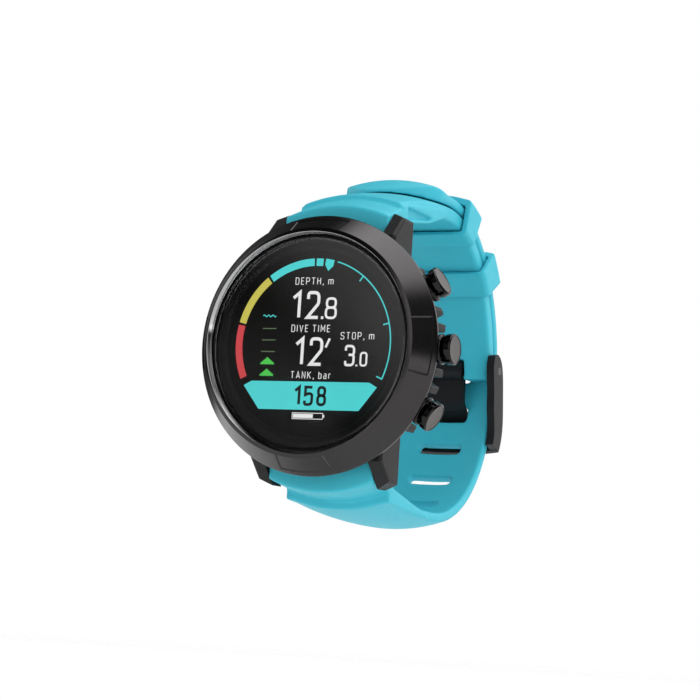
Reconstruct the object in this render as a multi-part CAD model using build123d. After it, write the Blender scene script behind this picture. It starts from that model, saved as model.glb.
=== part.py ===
"""Wrist dive computer on a buckled silicone strap.

Frame: origin at the centre of the case back's flat outer face.
+X points to 3 o'clock (the button side), +Z to 12 o'clock, and +Y out of the case back, into the wrist.
Distances called "depth" are measured along +Y from the dial plane, CASE_DEPTH in front of the origin.
"""
from build123d import *
from math import cos, sin, radians, degrees, hypot, asin
import os

# ---- driving dimensions, mm --------------------------------------------------------------------
CASE_DEPTH = 15.2           # dial plane to case back
BEZEL_R = 27.1              # outside of the bezel
CREST_RISE = 2.0            # bezel crest in front of the dial plane
LENS_R = 21.9
LENS_RISE = 0.9             # lens front in front of the dial plane
LENS_T = 2.0
CAVITY_R = 20.7             # inside of the case
BACK_R = 20.85              # case back plate
BACK_T = 2.0

LUG_GAP = 24.3              # between the lugs
LUG_T = 3.0
LUG_TIP_R = 31.2            # lug tips lie on a circle round the dial
BAR_Z = 26.4                # spring bars above and below the dial centre
BAR_DEPTH = 12.0
BAR_R = 0.9

BUTTON_ANGLES = {"top": 29.0, "middle": 0.0, "bottom": -29.0}
BUTTON_DEPTH = 8.0
BUTTON_R = 3.2
BUTTON_FACE = 29.2          # end face of a released button, from the dial centre
BOSS_FACE = 24.3            # flat round each button's sleeve
STEM_R = 1.44
SLEEVE_R = 2.1
GUARD_ROOT, GUARD_REACH = 21.5, 25.6    # low walls beside each button

NOTCH_HALF_ANGLE = 13.0     # shallow pockets in the bezel at 12, 3, 6 and 9 o'clock
SENSOR_AT = (0.0, -13.6)    # pressure ports in the case back
CONTACTS = [(x, 13.6) for x in (-3.75, -1.25, 1.25, 3.75)]

STRAP_HALF = 11.6           # half width of the strap round the wrist
ROOT_HALF = 12.0            # half width of the strap between the lugs
STRAP_T = 2.2               # holed strap
LAYER_T = 3.0               # buckle-side strap at its edges
CROWN = 2.0                 # both straps bulge outwards by this much along their middle
LAYER_GAP = 0.3             # between the two straps where they lap
UPPER_RIDGE_DEPTH = 15.3    # a ridge marks where each strap leaves its root
LOWER_RIDGE_DEPTH = 17.3

# The lapped face of the holed strap is a chain of tangent arcs round the wrist.
BACK_ARC_R = 37.4
BACK_ARC_AT = (33.6, 1.0)   # depth and height of the back arc's centre
UPPER_ARC_R, UPPER_JOIN = 26.8, 47.2
LOWER_ARC_R, LOWER_JOIN = 25.8, -33.3
TOP_ARC_R, BOTTOM_ARC_R = 92.8, 132.0

SLOT_PITCH = 8.3
SLOT_SIZE = (10.5, 2.4)
TONGUE_SLOT_AT = -12.1      # angle of the buckled slot on the back arc
SLOTS_BELOW, SLOTS_ABOVE = 3, 7
TAIL_TIP_DEPTH = 28.2

TAIL_KEEPER_SPAN = (61.6, 75.3)         # degrees on the upper arc
BUCKLE_KEEPER_SPAN = (32.3, 42.8)       # degrees on the back arc

PIN_ANGLE = 2.6             # buckle pin on the back arc
PIN_R = 0.9
BUCKLE_HALF = 13.8
BUCKLE_ARM_T = 1.8
CROSSBAR_R = (39.9, 41.1)   # crossbar under the strap, from the back arc's centre
CROSSBAR_SPAN = (-24.0, -19.0)
TONGUE_HALF, TONGUE_T = 4.95, 1.1
TONGUE_LOOP_R = 2.1         # the tongue is rolled round the pin
FIT = 0.05                  # radial clearance of a running fit


# ---- small helpers -----------------------------------------------------------------------------
def at_depth(depth):
    return depth - CASE_DEPTH


def ring(profile):
    """Turn a closed outline of (radius, depth) points about the dial axis."""
    outline = [(r, at_depth(d)) for r, d in profile]
    return revolve(make_face(Polyline(*outline, close=True)), Axis.Y)


def disc(radius, front, back, x=0.0, z=0.0):
    """A plain disc facing the dial, between two depths."""
    middle = at_depth((front + back) / 2)
    return Pos(x, middle, z) * Rot(90, 0, 0) * Cylinder(radius, back - front)


def block(x0, x1, front, back, z0, z1):
    centre = ((x0 + x1) / 2, at_depth((front + back) / 2), (z0 + z1) / 2)
    return Pos(*centre) * Box(x1 - x0, back - front, z1 - z0)


def side_prism(points, x0, x1):
    """Extrude an outline of (depth, height) points from x0 to x1."""
    outline = Polyline(*[(at_depth(d), z) for d, z in points], close=True)
    return extrude(Plane.YZ.offset(x0) * make_face(outline), x1 - x0)


def bar_along_x(radius, x0, x1, depth, z):
    return Pos((x0 + x1) / 2, at_depth(depth), z) * Rot(0, 90, 0) * Cylinder(radius, x1 - x0)


def soften(shape, edges, radius):
    """Round the named edges, or leave them sharp where the kernel can't round them."""
    try:
        rounded = fillet(edges, radius)
    except (ValueError, RuntimeError):
        return shape
    return rounded if rounded.is_valid else shape


def one(shape):
    """The single solid of a shape that should hold only one."""
    solids = shape.solids()
    return max(solids, key=lambda s: s.volume)


def write(name, shape):
    shape.label = name
    export_step(shape, f"parts/{name}.step")


# ---- the strap's arcs --------------------------------------------------------------------------
def joined_centre(centre, radius, next_radius, angle):
    """Centre of an arc that leaves another tangentially at the given angle."""
    step = radius - next_radius
    return centre[0] + step * cos(radians(angle)), centre[1] + step * sin(radians(angle))


BACK_C = BACK_ARC_AT
UPPER_C = joined_centre(BACK_C, BACK_ARC_R, UPPER_ARC_R, UPPER_JOIN)
LOWER_C = joined_centre(BACK_C, BACK_ARC_R, LOWER_ARC_R, LOWER_JOIN)
TOP_C = joined_centre(UPPER_C, UPPER_ARC_R, TOP_ARC_R, 90)
BOTTOM_C = joined_centre(LOWER_C, LOWER_ARC_R, BOTTOM_ARC_R, -90)


def polar(centre, radius, angle):
    return centre[0] + radius * cos(radians(angle)), centre[1] + radius * sin(radians(angle))


def radial_plane(centre, angle):
    """Plane through an arc's axis: local x along the axis, local y outwards."""
    a = radians(angle)
    return Plane(origin=(0, at_depth(centre[0]), centre[1]), x_dir=(1, 0, 0), z_dir=(0, -sin(a), cos(a)))


def crowned(half, low, edge, corner):
    """A strap's cross-section: flat inside, bulging outside, with rounded corners."""
    outline = (
        Polyline((-half, edge), (-half, low), (half, low), (half, edge))
        + ThreePointArc((half, edge), (0, edge + CROWN), (-half, edge))
    )
    return fillet(make_face(outline).vertices(), corner)


def curved(half, low, high, corner):
    """A cross-section of even thickness that bulges outwards."""
    outline = (
        Line((-half, high), (-half, low))
        + ThreePointArc((-half, low), (0, low + CROWN), (half, low))
        + Line((half, low), (half, high))
        + ThreePointArc((half, high), (0, high + CROWN), (-half, high))
    )
    return fillet(make_face(outline).vertices(), corner)


def bend(section, centre, start, end):
    """Sweep a radial section about an arc's axis from one angle to another."""
    face = radial_plane(centre, start) * section
    axis = Axis((0, at_depth(centre[0]), centre[1]), (1, 0, 0))
    return revolve(face, axis, end - start)


def holed_section(radius):
    return curved(STRAP_HALF, radius, radius + STRAP_T, 0.6)


def lapped_section(radius):
    return crowned(STRAP_HALF, radius - LAYER_GAP - LAYER_T, radius - LAYER_GAP, 0.6)


def slot_places():
    """Centre, radius and angle of every slot, by arc length from the buckled one."""
    places = []
    for k in range(-SLOTS_BELOW, SLOTS_ABOVE + 1):
        angle = TONGUE_SLOT_AT + degrees(k * SLOT_PITCH / BACK_ARC_R)
        if angle > UPPER_JOIN:
            over = radians(angle - UPPER_JOIN) * BACK_ARC_R
            places.append((UPPER_C, UPPER_ARC_R, UPPER_JOIN + degrees(over / UPPER_ARC_R), k))
        elif angle < LOWER_JOIN:
            over = radians(LOWER_JOIN - angle) * BACK_ARC_R
            places.append((LOWER_C, LOWER_ARC_R, LOWER_JOIN - degrees(over / LOWER_ARC_R), k))
        else:
            places.append((BACK_C, BACK_ARC_R, angle, k))
    return places


def slot_cutter(centre, radius, angle, k):
    depth, z = polar(centre, radius + 2, angle)
    a = radians(angle)
    plane = Plane(origin=(0, at_depth(depth), z), x_dir=(1, 0, 0), z_dir=(0, cos(a), sin(a)))
    width, height = SLOT_SIZE
    if k == 0:
        height += 1.2
    return extrude(plane * RectangleRounded(width, height, 0.9), 6, both=True)


def behind(depth):
    """Everything on the wrist side of a depth."""
    return block(-30, 30, depth, 100, -60, 60)


def root_bore(sign):
    """Spring-bar bore with the pocket for the quick-release knob."""
    z = sign * BAR_Z
    bore = bar_along_x(BAR_R + FIT, -13, 13, BAR_DEPTH, z)
    return bore + block(6.2, 9.8, BAR_DEPTH, 16.5, z - 1.0, z + 1.0)


def root(points, outside, ridge_depth):
    """The thick end between the lugs. Its outer face is turned about the dial axis, up to the ridge."""
    body = side_prism(points, -ROOT_HALF, ROOT_HALF)
    body &= ring([(0, 8)] + outside + [(60, ridge_depth), (60, 60), (0, 60)])
    body -= disc(24.2, 0, 30)
    edges = body.edges().filter_by(Axis.X).group_by(Axis.Y)[0]
    return soften(body, edges, 0.6)


def upper_strap():
    points = [(8.8, 22.5), (8.8, 36.0), (UPPER_RIDGE_DEPTH, 36.0), (UPPER_RIDGE_DEPTH, 31.3), (38.5, 34.4),
              (38.5, 32.6), (30.0, 29.9), (20.0, 28.2), (16.6, 26.8), (15.1, 24.8), (15.1, 22.5)]
    outside = [(29.8, 8.0), (30.4, 9.0), (32.6, UPPER_RIDGE_DEPTH)]
    end_angle = PIN_ANGLE - 3.5
    strap = bend(lapped_section(TOP_ARC_R), TOP_C, 90, 107.5)
    strap += bend(lapped_section(UPPER_ARC_R), UPPER_C, UPPER_JOIN, 90)
    strap += bend(lapped_section(BACK_ARC_R), BACK_C, end_angle, UPPER_JOIN)
    strap &= behind(UPPER_RIDGE_DEPTH)
    strap += root(points, outside, UPPER_RIDGE_DEPTH)
    strap -= root_bore(1)
    recess = [(18.4, 28.7), (30.6, 30.6), (30.6, 31.3), (18.4, 31.4)]
    for side in (-1, 1):
        x0, x1 = sorted((side * (STRAP_HALF - 0.6), side * 13))
        strap -= side_prism(recess, x0, x1)
    pin_depth, pin_z = polar(BACK_C, BACK_ARC_R - LAYER_GAP - LAYER_T / 2, PIN_ANGLE)
    strap -= bar_along_x(PIN_R + FIT, -13, 13, pin_depth, pin_z)
    notch = bend(Pos(0, BACK_ARC_R - 2) * Rectangle(10.6, 12), BACK_C, end_angle - 4, PIN_ANGLE + 4.2)
    return one(strap - notch)


def tail_trimmer():
    """Everything outside the rounded end of the tail."""
    corner_depth = TAIL_TIP_DEPTH + 10
    around = block(-14, 14, TAIL_TIP_DEPTH - 14, corner_depth, 33.0, 48)
    tip = Pos(0, at_depth(corner_depth), 40) * extrude(Ellipse(STRAP_HALF, 10), 10, both=True)
    return around - tip


def lower_strap():
    points = [(8.8, -22.5), (8.8, -36.0), (LOWER_RIDGE_DEPTH, -36.0),
              (LOWER_RIDGE_DEPTH, -31.2), (38.0, -33.2),
              (38.0, -32.2), (30.0, -30.4), (20.0, -28.0), (17.0, -26.2), (15.1, -24.6), (15.1, -22.5)]
    outside = [(29.4, 8.2), (30.0, 9.0), (30.4, 11.8), (31.2, LOWER_RIDGE_DEPTH)]
    tip_angle = 90 + degrees(asin((UPPER_C[0] - TAIL_TIP_DEPTH) / TOP_ARC_R))
    strap = bend(holed_section(BOTTOM_ARC_R), BOTTOM_C, -103, -90)
    strap += bend(holed_section(LOWER_ARC_R), LOWER_C, -90, LOWER_JOIN)
    strap += bend(holed_section(BACK_ARC_R), BACK_C, LOWER_JOIN, UPPER_JOIN)
    strap += bend(holed_section(UPPER_ARC_R), UPPER_C, UPPER_JOIN, 90)
    strap += bend(holed_section(TOP_ARC_R), TOP_C, 90, tip_angle)
    strap &= behind(LOWER_RIDGE_DEPTH)
    strap -= tail_trimmer()
    strap += root(points, outside, LOWER_RIDGE_DEPTH)
    strap -= root_bore(-1)
    for place in slot_places():
        strap -= slot_cutter(*place)
    return one(strap)


# ---- keepers and buckle ------------------------------------------------------------------------
def keeper(centre, radius, start, end):
    """A loop round both straps, with the same crown."""
    wall, inner_wall, room = 1.3, 0.9, 0.35
    low = radius - LAYER_GAP - LAYER_T - room
    high = radius + STRAP_T + room
    window = crowned(STRAP_HALF + room, low, high, 0.5)
    outside = crowned(STRAP_HALF + room + wall, low - inner_wall, high + wall, 1.1)
    return one(bend(outside - window, centre, start, end))


PIN_AT = polar(BACK_C, BACK_ARC_R - LAYER_GAP - LAYER_T / 2, PIN_ANGLE)


def ribbon(path, half):
    """Outline of a strip of even thickness that follows a path of points."""
    left, right = [], []
    for i, (x, y) in enumerate(path):
        before = path[max(i - 1, 0)]
        after = path[min(i + 1, len(path) - 1)]
        a = (x - before[0], y - before[1]) if i else (after[0] - x, after[1] - y)
        b = (after[0] - x, after[1] - y) if i < len(path) - 1 else a
        a, b = [(v[0] / hypot(*v), v[1] / hypot(*v)) for v in (a, b)]
        mean = (a[0] + b[0], a[1] + b[1])
        size = hypot(*mean)
        normal = (-mean[1] / size, mean[0] / size)
        reach = half / (size / 2)
        left.append((x + normal[0] * reach, y + normal[1] * reach))
        right.append((x - normal[0] * reach, y - normal[1] * reach))
    return left + right[::-1]


def buckle_tongue():
    polar_path = [(36.2, 1.0), (36.4, -4.0), (36.9, -8.6), (38.2, -10.6), (41.6, -12.6),
                  (43.4, -14.6), (44.0, -17.5), (44.1, -20.5), (44.0, -23.4)]
    path = [polar(BACK_C, r, a) for r, a in polar_path]
    plate = side_prism(ribbon(path, TONGUE_T / 2), -TONGUE_HALF, TONGUE_HALF)
    tip = plate.edges().filter_by(Axis.Y, tolerance=30).sort_by(Axis.Z)[:2]
    plate = soften(plate, tip, 1.5)
    body = plate + bar_along_x(TONGUE_LOOP_R, -TONGUE_HALF, TONGUE_HALF, *PIN_AT)
    body -= bar_along_x(PIN_R + FIT, -BUCKLE_HALF, BUCKLE_HALF, *PIN_AT)
    return one(body)


def buckle_frame():
    outer = [(34.4, 8.8), (36.7, 5.6), (37.5, 2.0), (38.6, -6.0), (40.8, -17.0), (41.1, -23.8)]
    inner = [(37.2, -24.2), (36.2, -18.5), (34.0, -11.5), (33.2, -6.0), (32.2, 5.6), (32.8, 8.4)]
    outer, inner = ([polar(BACK_C, r, a) for r, a in side] for side in (outer, inner))
    outer, inner = ([(at_depth(d), z) for d, z in side] for side in (outer, inner))
    outline = Spline(*outer) + Line(outer[-1], inner[0]) + Spline(*inner) + Line(inner[-1], outer[0])
    side = make_face(outline)
    frame = bend(curved(BUCKLE_HALF, *CROSSBAR_R, 0.3), BACK_C, *CROSSBAR_SPAN)
    for x0 in (-BUCKLE_HALF, BUCKLE_HALF - BUCKLE_ARM_T):
        frame += extrude(Plane.YZ.offset(x0) * side, BUCKLE_ARM_T)
    frame -= bar_along_x(PIN_R, -BUCKLE_HALF, BUCKLE_HALF, *PIN_AT)
    outside = frame.edges().filter_by(GeomType.BSPLINE)
    return one(soften(frame, outside, 0.35))


def buckle_pin():
    return bar_along_x(PIN_R, -BUCKLE_HALF, BUCKLE_HALF, *PIN_AT)


# ---- spring bars -------------------------------------------------------------------------------
def bar_tube(z):
    tube = bar_along_x(BAR_R, -11.8, 11.8, BAR_DEPTH, z) - bar_along_x(0.65, -12, 12, BAR_DEPTH, z)
    return one(tube - block(6.6, 9.5, BAR_DEPTH, BAR_DEPTH + 2, z - 0.62, z + 0.62))


def bar_fixed_pin(z):
    return bar_along_x(0.65, -11.8, 2.0, BAR_DEPTH, z) + bar_along_x(0.6, -13.6, -11.8, BAR_DEPTH, z)


def bar_release_pin(z):
    knob = Pos(8.6, at_depth(BAR_DEPTH + 1.35), z) * Rot(90, 0, 0) * Cylinder(0.55, 2.7)
    head = Pos(8.6, at_depth(BAR_DEPTH + 2.45), z) * Rot(90, 0, 0) * Cylinder(0.75, 0.5)
    return one(bar_along_x(0.6, 7.2, 13.6, BAR_DEPTH, z) + knob + head)


def coil(radius, wire, length, turns):
    """A compression spring standing on the local XY plane."""
    path = Helix(pitch=(length - 2 * wire) / turns, height=length - 2 * wire, radius=radius)
    start = path @ 0
    section = Plane(origin=start, z_dir=path % 0) * Circle(wire)
    return Pos(0, 0, wire) * sweep(section, path, is_frenet=True)


def bar_spring(z):
    return Pos(2.1, at_depth(BAR_DEPTH), z) * Rot(0, 90, 0) * coil(0.42, 0.13, 5.0, 9)


# ---- buttons -----------------------------------------------------------------------------------
def on_button(shape, angle):
    """Turn a shape drawn along +X onto a button's axis."""
    return Rot(0, -angle, 0) * Pos(0, at_depth(BUTTON_DEPTH), 0) * shape


def along(radius, x0, x1):
    return Pos((x0 + x1) / 2, 0, 0) * Rot(0, 90, 0) * Cylinder(radius, x1 - x0)


def button():
    head = along(BUTTON_R, BUTTON_FACE - 3.6, BUTTON_FACE)
    head = chamfer(head.edges().filter_by(GeomType.CIRCLE).group_by(Axis.X)[-1], 0.3)
    head = fillet(head.edges().filter_by(GeomType.CIRCLE).group_by(Axis.X)[0], 0.3)
    head -= along(2.75, 20, BUTTON_FACE - 1.5)
    body = head + along(STEM_R, 19.0, BUTTON_FACE - 1)
    for groove in (21.9, 22.9):
        body -= along(STEM_R + 1, groove - 0.3, groove + 0.3) - along(0.95, groove - 1, groove + 1)
    body -= along(STEM_R + 1, 19.5, 19.9) - along(0.9, 19, 20.5)
    return one(body)


def button_seals():
    rings = []
    for x in (21.9, 22.9):
        seal = along(1.47, x - 0.27, x + 0.27) - along(0.96, x - 1, x + 1)
        rings.append(one(fillet(seal.edges().filter_by(GeomType.CIRCLE), 0.2)))
    return Compound(children=rings)


def button_sleeve():
    tube = along(SLEEVE_R, 20.5, BOSS_FACE) + along(2.6, BOSS_FACE - 0.5, BOSS_FACE)
    return one(tube - along(STEM_R + 0.06, 20, 25))


def button_clip():
    """Retaining clip in the stem's groove, open on one side."""
    plate = along(2.3, 19.5, 19.9) - along(0.9, 19, 20.5)
    return one(plate - Pos(19.7, 1.5, 0) * Box(1, 3, 1.5))


def button_spring():
    return Pos(BOSS_FACE, 0, 0) * Rot(0, 90, 0) * coil(2.1, 0.22, BUTTON_FACE - 1.5 - BOSS_FACE, 3)


def button_switch():
    base = Pos(16.9, 0, 0) * Box(1.2, 3.4, 3.4)
    return one(base + along(1.0, 17.4, 17.8))


# ---- case --------------------------------------------------------------------------------------
def lug_pair(sign):
    points = [(5.6, 17), (5.6, 23.4), (11.2, 28.8), (13.0, 32), (15.0, 32), (15.0, 16)]
    points = [(d, sign * z) for d, z in points]
    lugs = []
    for side in (-1, 1):
        x0, x1 = sorted((side * LUG_GAP / 2, side * (LUG_GAP / 2 + LUG_T)))
        lug = side_prism(points, x0, x1) & disc(LUG_TIP_R, 0, 20)
        edges = lug.edges().group_by(Axis.X)[-1 if side > 0 else 0]
        lugs.append(soften(lug, edges, 0.8))
    return lugs


def button_guards(angle):
    """Two low walls that stand beside a button."""
    guards = []
    for side in (-1, 1):
        middle = (GUARD_ROOT + GUARD_REACH) / 2
        wall = Pos(middle, 0.6, side * 4.6) * Box(GUARD_REACH - GUARD_ROOT, 4.6, 1.7)
        edges = wall.edges().group_by(Axis.X)[-1]
        guards.append(on_button(soften(wall, edges, 0.6), angle))
    return guards


def case_body():
    shell = ring([(CAVITY_R, 1.85), (24.4, 1.85), (24.4, 4.4), (25.3, 4.4), (24.9, 6.0), (22.6, 13.0),
                  (22.0, CASE_DEPTH), (BACK_R, CASE_DEPTH), (BACK_R, 13.2), (17.0, 13.2),
                  (17.0, 10.9), (CAVITY_R, 10.9)])
    for sign in (-1, 1):
        for lug in lug_pair(sign):
            shell += lug - disc(21.5, 0, 20)
    for angle in BUTTON_ANGLES.values():
        for guard in button_guards(angle):
            shell += guard - disc(22.0, 0, 20)
        shell += on_button(along(BUTTON_R + 0.3, 22.0, BOSS_FACE), angle) - disc(22.0, 0, 20)
    for angle in BUTTON_ANGLES.values():
        shell -= on_button(along(BUTTON_R + 0.35, BOSS_FACE, 34), angle)
        shell -= on_button(along(SLEEVE_R, 15, 25), angle)
        shell -= on_button(along(2.6, BOSS_FACE - 0.5, 25), angle)
    for z in (-BAR_Z, BAR_Z):
        shell -= bar_along_x(0.65, -13.9, 13.9, BAR_DEPTH, z)
    for x, z in screw_places():
        shell -= disc(0.78, 10, 14, x, z)
    shell -= ring([(17.5, 12.5), (18.5, 12.5), (18.5, 13.3), (17.5, 13.3)])
    return one(shell)


def bezel():
    body = ring([(22.25, -LENS_RISE), (22.95, -CREST_RISE), (23.8, -1.6), (BEZEL_R, 3.5),
                 (BEZEL_R, 4.1), (26.3, 4.4), (24.4, 4.4), (24.4, 1.85), (22.25, 1.85)])
    pocket = ring([(23.55, -1.55), (25.75, 2.45), (28.0, 2.45), (28.0, -1.55)])
    reach = 40 * sin(radians(NOTCH_HALF_ANGLE)) / cos(radians(NOTCH_HALF_ANGLE))
    for k in range(4):
        wedge = Polyline((0, 0), (40, reach), (40, -reach), close=True)
        sector = extrude(Plane.XZ * make_face(wedge), 30, both=True)
        body -= pocket & (Rot(0, 90 * k, 0) * sector)
    return one(body)


def lens():
    glass = disc(LENS_R, -LENS_RISE, LENS_T - LENS_RISE)
    return chamfer(glass.edges().filter_by(GeomType.CIRCLE).group_by(Axis.Y)[0], 0.3)


def lens_gasket():
    back = LENS_T - LENS_RISE
    return ring([(LENS_R, -0.35), (22.25, -0.35), (22.25, 1.85), (20.8, 1.85), (20.8, back), (LENS_R, back)])


def screw_places():
    spots = []
    for k in range(4):
        a = radians(45 + 90 * k)
        spots.append((19.55 * cos(a), 19.55 * sin(a)))
    return spots


def case_back():
    plate = disc(BACK_R, CASE_DEPTH - BACK_T, CASE_DEPTH)
    plate = chamfer(plate.edges().filter_by(GeomType.CIRCLE).group_by(Axis.Y)[-1], 0.25)
    for x, z in screw_places():
        plate -= disc(0.85, 12, 16, x, z) + disc(1.25, 14.3, 16, x, z)
    for dx, dz in ((-1.1, -1.1), (-1.1, 1.1), (1.1, -1.1), (1.1, 1.1)):
        plate -= disc(0.45, 12, 16, SENSOR_AT[0] + dx, SENSOR_AT[1] + dz)
    for x, z in CONTACTS:
        plate -= disc(0.95, 12, 16, x, z)
    return one(plate)


def case_back_gasket():
    return ring([(17.5, 12.5), (18.5, 12.5), (18.5, 13.2), (17.5, 13.2)])


def case_back_screws():
    screws = []
    for x, z in screw_places():
        screw = disc(1.2, 14.35, 15.0, x, z) + disc(0.75, 11.4, 14.4, x, z)
        socket = extrude(Plane(origin=(x, at_depth(15.0), z), z_dir=(0, 1, 0)) * RegularPolygon(0.6, 6),
                         0.4, both=True)
        screws.append(one(screw - socket))
    return Compound(children=screws)


def charging_contacts():
    pins = []
    for x, z in CONTACTS:
        pin = disc(0.6, 12.0, CASE_DEPTH - 0.1, x, z) + disc(0.85, 12.3, 12.9, x, z)
        pins.append(one(pin))
    return Compound(children=pins)


def contact_insulator():
    carrier = block(-6.2, 6.2, 11.6, 13.2, 11.8, 15.4)
    for x, z in CONTACTS:
        carrier += disc(0.95, 13.2, CASE_DEPTH - 0.1, x, z)
        carrier -= disc(0.6, 11, 16, x, z) + disc(0.85, 12.3, 12.9, x, z)
    return one(carrier)


# ---- what the case holds -----------------------------------------------------------------------
def display_panel():
    return disc(20.0, 1.1, 2.2)


def backlight():
    return disc(19.0, 2.2, 3.0)


def display_frame():
    cup = disc(20.6, 2.2, 4.4) - disc(19.0, 2.2, 3.0)
    for k in range(4):
        a = radians(45 + 90 * k)
        cup += disc(1.2, 4.4, 5.2, 17.5 * cos(a), 17.5 * sin(a))
    cup -= block(-5.2, 5.2, 0, 5, -21, -18.9)
    return one(cup)


def display_ribbon():
    """Flat cable from the panel's lower edge round to the main board."""
    strip = side_prism([(2.2, -19.1), (2.2, -19.9), (4.6, -20.1), (5.2, -19.8), (5.2, -17.0),
                        (5.05, -17.0), (5.05, -19.6), (4.6, -19.9), (2.4, -19.7), (2.4, -19.1)], -4.5, 4.5)
    return one(strip)


def main_board():
    board = disc(20.2, 5.2, 6.0)
    for angle in BUTTON_ANGLES.values():
        board -= Rot(0, -angle, 0) * Pos(20.5, at_depth(5.6), 0) * Box(9, 3, 5.6)
    return one(board)


def main_board_chips():
    chips = [block(-12, -5, 4.45, 5.2, 3, 10), block(2, 8, 4.5, 5.2, -8, -2),
             block(-10, -4, 4.6, 5.2, -9, -4),
             block(4, 10, 4.6, 5.2, 5, 9)]
    return Compound(children=chips)


def battery():
    cell = block(-14.5, 12.0, 6.1, 10.7, -9.4, 9.4)
    return fillet(cell.edges().filter_by(Axis.Z), 1.6)


def vibration_motor():
    can = bar_along_x(2.0, -9.5, -1.5, 8.2, 13.0)
    weight = bar_along_x(1.7, -0.9, 2.0, 8.2, 13.0) & block(-1, 3, 5, 12, 13.0, 16)
    shaft = bar_along_x(0.4, -1.5, 2.0, 8.2, 13.0)
    return one(can + weight + shaft)


def beeper():
    return disc(4.2, 6.0, 7.6, 8.0, 13.9) - disc(0.6, 7.2, 7.7, 8.0, 13.9)


def pressure_sensor():
    can = disc(3.4, 9.6, 12.4, *SENSOR_AT) + disc(2.6, 12.4, 13.0, *SENSOR_AT)
    return one(can + disc(2.0, 6.0, 9.6, *SENSOR_AT))


def sensor_seal():
    return disc(3.4, 12.4, 13.2, *SENSOR_AT) - disc(2.6, 12, 14, *SENSOR_AT)


# ---- write every piece -------------------------------------------------------------------------
def main():
    os.makedirs("parts", exist_ok=True)
    write("case_body", case_body())
    write("bezel", bezel())
    write("lens", lens())
    write("lens_gasket", lens_gasket())
    write("case_back", case_back())
    write("case_back_gasket", case_back_gasket())
    write("case_back_screws", case_back_screws())
    write("charging_contacts", charging_contacts())
    write("contact_insulator", contact_insulator())
    write("display_panel", display_panel())
    write("backlight", backlight())
    write("display_frame", display_frame())
    write("display_ribbon", display_ribbon())
    write("main_board", main_board())
    write("main_board_chips", main_board_chips())
    write("battery", battery())
    write("vibration_motor", vibration_motor())
    write("beeper", beeper())
    write("pressure_sensor", pressure_sensor())
    write("sensor_seal", sensor_seal())
    pieces = {"": button, "_seals": button_seals, "_sleeve": button_sleeve, "_clip": button_clip,
              "_spring": button_spring, "_switch": button_switch}
    for name, angle in BUTTON_ANGLES.items():
        for suffix, make in pieces.items():
            write(f"{name}_button{suffix}", on_button(make(), angle))
    for name, z in (("upper", BAR_Z), ("lower", -BAR_Z)):
        write(f"{name}_bar_tube", bar_tube(z))
        write(f"{name}_bar_fixed_pin", bar_fixed_pin(z))
        write(f"{name}_bar_release_pin", bar_release_pin(z))
        write(f"{name}_bar_spring", bar_spring(z))
    write("upper_strap", upper_strap())
    write("lower_strap", lower_strap())
    write("tail_keeper", keeper(UPPER_C, UPPER_ARC_R, *TAIL_KEEPER_SPAN))
    write("buckle_keeper", keeper(BACK_C, BACK_ARC_R, *BUCKLE_KEEPER_SPAN))
    write("buckle_frame", buckle_frame())
    write("buckle_tongue", buckle_tongue())
    write("buckle_pin", buckle_pin())


main()
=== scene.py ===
"""Studio picture of a wrist dive computer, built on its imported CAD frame.

The row frame is in metres: +X to 3 o'clock, +Z to 12 o'clock, +Y out of the case back. Pieces are
described in millimetres from the dial centre, and at() turns that into a place in the row frame.
"Depth" is the distance behind the dial plane, which is CASE_DEPTH in front of the origin.
"""

import math

import bmesh
import bpy
from mathutils import Matrix, Vector


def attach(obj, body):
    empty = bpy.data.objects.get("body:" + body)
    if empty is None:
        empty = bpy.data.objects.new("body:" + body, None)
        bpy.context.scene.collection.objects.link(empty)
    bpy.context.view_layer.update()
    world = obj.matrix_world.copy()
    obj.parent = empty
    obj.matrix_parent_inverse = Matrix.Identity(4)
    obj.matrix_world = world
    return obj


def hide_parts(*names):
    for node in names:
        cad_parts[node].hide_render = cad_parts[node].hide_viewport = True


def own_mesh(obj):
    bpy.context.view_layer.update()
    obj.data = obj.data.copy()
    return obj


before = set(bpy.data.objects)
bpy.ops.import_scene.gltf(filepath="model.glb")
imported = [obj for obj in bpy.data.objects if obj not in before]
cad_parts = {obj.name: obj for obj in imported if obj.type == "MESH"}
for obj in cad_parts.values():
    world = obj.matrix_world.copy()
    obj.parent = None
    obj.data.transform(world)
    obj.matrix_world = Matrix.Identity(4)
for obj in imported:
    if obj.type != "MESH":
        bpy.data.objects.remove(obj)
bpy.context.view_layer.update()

MM = 0.001
CASE_DEPTH = 15.2
WATCH = "watch"


def at(x, depth, z):
    """A point in millimetres from the dial centre, as a place in the row frame."""
    return Vector((x, depth - CASE_DEPTH, z)) * MM


# ---- camera ------------------------------------------------------------------------------------
VIEW_AZIMUTH = 27.0
VIEW_ELEVATION = -6.4
VIEW_ROLL = 3.8             # 12 o'clock leans this far to the right
VIEW_DISTANCE = 500.0       # mm from the dial centre
VIEW_LENS = 125.5
AIM_RIGHT, AIM_UP = 8.3, -1.4   # mm from the dial centre to the middle of the picture


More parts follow.
